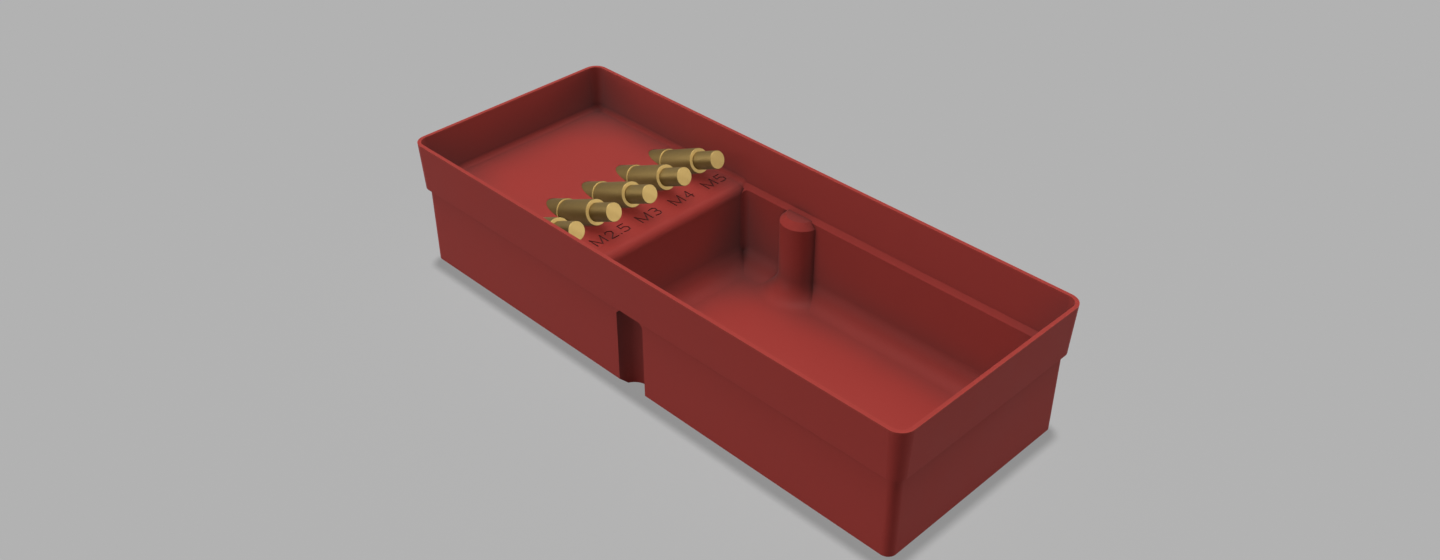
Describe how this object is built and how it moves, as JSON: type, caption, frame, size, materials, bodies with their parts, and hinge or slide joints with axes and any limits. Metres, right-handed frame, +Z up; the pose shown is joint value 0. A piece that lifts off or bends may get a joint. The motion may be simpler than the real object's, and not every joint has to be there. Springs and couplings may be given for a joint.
{
  "type": "parts organiser bin",
  "caption": "Open-topped organiser bin with a raised block that holds brass insert tips in inclined bores beside a deep pocket with a scooped floor.",
  "frame": {"origin": "middle of the flat base, on the surface the bin stands on", "axes": "+X along the bin towards the deep pocket's end, +Y across it, +Z up; the tips' free ends point to +X and up"},
  "size_m": [0.216, 0.084, 0.0507],
  "materials": {
    "tray": "matte",
    "brass_tips": "satin"
  },
  "bodies": {
    "tray": {"tray": "tray"},
    "tip_2": {"tip_2": "brass_tips"},
    "tip_2_5": {"tip_2_5": "brass_tips"},
    "tip_3": {"tip_3": "brass_tips"},
    "tip_4": {"tip_4": "brass_tips"},
    "tip_5": {"tip_5": "brass_tips"}
  },
  "joints": [
    {"name": "tip_2_lift", "type": "slide", "parent": "tray", "child": "tip_2", "axis": [0.9092, 0, 0.4163], "range_m": [0, 0.04]},
    {"name": "tip_2_5_lift", "type": "slide", "parent": "tray", "child": "tip_2_5", "axis": [0.9092, 0, 0.4163], "range_m": [0, 0.04]},
    {"name": "tip_3_lift", "type": "slide", "parent": "tray", "child": "tip_3", "axis": [0.9092, 0, 0.4163], "range_m": [0, 0.04]},
    {"name": "tip_4_lift", "type": "slide", "parent": "tray", "child": "tip_4", "axis": [0.9092, 0, 0.4163], "range_m": [0, 0.04]},
    {"name": "tip_5_lift", "type": "slide", "parent": "tray", "child": "tip_5", "axis": [0.9092, 0, 0.4163], "range_m": [0, 0.04]}
  ]
}
